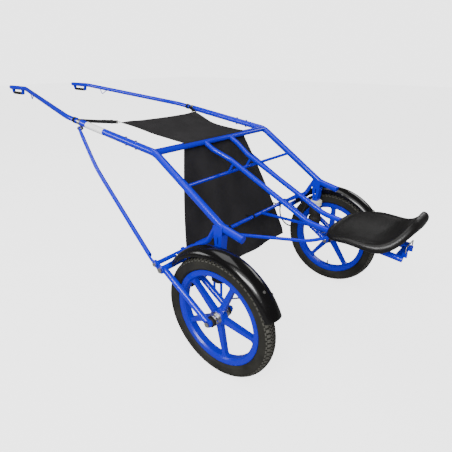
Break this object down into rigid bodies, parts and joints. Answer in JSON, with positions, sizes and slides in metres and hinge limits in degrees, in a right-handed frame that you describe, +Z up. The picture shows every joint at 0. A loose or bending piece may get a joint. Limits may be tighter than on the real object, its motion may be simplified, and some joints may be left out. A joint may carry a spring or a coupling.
{
  "type": "trotting sulky",
  "caption": "Trotting sulky: tubular frame with converging shafts, air-sprung fork wheels, fenders, mud screen and a moulded seat on curved rails.",
  "frame": {"origin": "on the ground, under the middle of the sulky's length and width", "axes": "+X forward to the horse, +Y to the left, +Z up"},
  "size_m": [2.894, 1.2436, 1.1069],
  "materials": {
    "blue_paint": "gloss paint on steel tube",
    "rim_paint": "gloss paint on cast alloy",
    "zinc": "zinc plated",
    "rubber": "satin rubber",
    "tyre": "matt tyre rubber",
    "fender_black": "gloss black plastic",
    "cloth": "coated woven cloth",
    "ring_plastic": "moulded cream plastic",
    "seat_skin": "black foam with its own skin",
    "shell_plastic": "black moulded shell"
  },
  "bodies": {
    "frame": {"left_side_rail": "blue_paint", "right_side_rail": "blue_paint", "front_cross_tube": "blue_paint", "screen_rod": "blue_paint", "foot_tube": "blue_paint", "seat_struts": "blue_paint", "left_seat_rail": "blue_paint", "right_seat_rail": "blue_paint", "rail_end_plate": "blue_paint", "axle_beam": "blue_paint", "left_hanger": "blue_paint", "right_hanger": "blue_paint", "left_spring_bracket": "blue_paint", "right_spring_bracket": "blue_paint", "left_front_shaft": "blue_paint", "right_front_shaft": "blue_paint", "left_stay": "blue_paint", "right_stay": "blue_paint", "left_hitch": "blue_paint", "right_hitch": "blue_paint", "strap_loops": "blue_paint", "left_seat_brace": "blue_paint", "right_seat_brace": "blue_paint", "seat_frame": "blue_paint", "frame_bolts": "zinc", "shaft_clamps": "zinc", "left_pivot_bolt": "zinc", "right_pivot_bolt": "zinc", "air_fittings": "zinc", "left_bellows": "rubber", "right_bellows": "rubber", "hitch_sleeves": "rubber", "air_hoses": "rubber", "mud_screen": "cloth", "screen_straps": "cloth", "spring_rings": "ring_plastic", "seat_pad": "seat_skin", "seat_shell": "shell_plastic"},
    "left_fork": {"left_fork": "blue_paint", "left_fender": "fender_black", "left_fender_stay": "zinc", "left_axle": "zinc", "left_spacers": "rubber", "left_spring_foot": "zinc"},
    "right_fork": {"right_fork": "blue_paint", "right_fender": "fender_black", "right_fender_stay": "zinc", "right_axle": "zinc", "right_spacers": "rubber", "right_spring_foot": "zinc"},
    "left_wheel": {"left_rim": "rim_paint", "left_tyre": "tyre", "left_hub": "zinc", "left_bearings": "zinc"},
    "right_wheel": {"right_rim": "rim_paint", "right_tyre": "tyre", "right_hub": "zinc", "right_bearings": "zinc"},
    "bail": {"seat_bail": "zinc"}
  },
  "joints": [
    {"name": "left_fork_swing", "type": "hinge", "parent": "frame", "child": "left_fork", "pos_m": [-0.58, 0.524, 0.446], "axis": [0, 1, 0], "range_deg": [-6, 9], "stiffness_Nm_per_rad": 3000, "deforming": ["left_bellows"]},
    {"name": "right_fork_swing", "type": "hinge", "parent": "frame", "child": "right_fork", "pos_m": [-0.58, -0.524, 0.446], "axis": [0, 1, 0], "range_deg": [-6, 9], "stiffness_Nm_per_rad": 3000, "deforming": ["right_bellows"]},
    {"name": "left_wheel_turn", "type": "hinge", "parent": "left_fork", "child": "left_wheel", "pos_m": [-0.842, 0.524, 0.28], "axis": [0, 1, 0], "continuous": true},
    {"name": "right_wheel_turn", "type": "hinge", "parent": "right_fork", "child": "right_wheel", "pos_m": [-0.842, -0.524, 0.28], "axis": [0, 1, 0], "continuous": true},
    {"name": "bail_swing", "type": "hinge", "parent": "frame", "child": "bail", "pos_m": [-1.408, 0, 0.57931], "axis": [0, 1, 0], "range_deg": [-110, 0]}
  ]
}
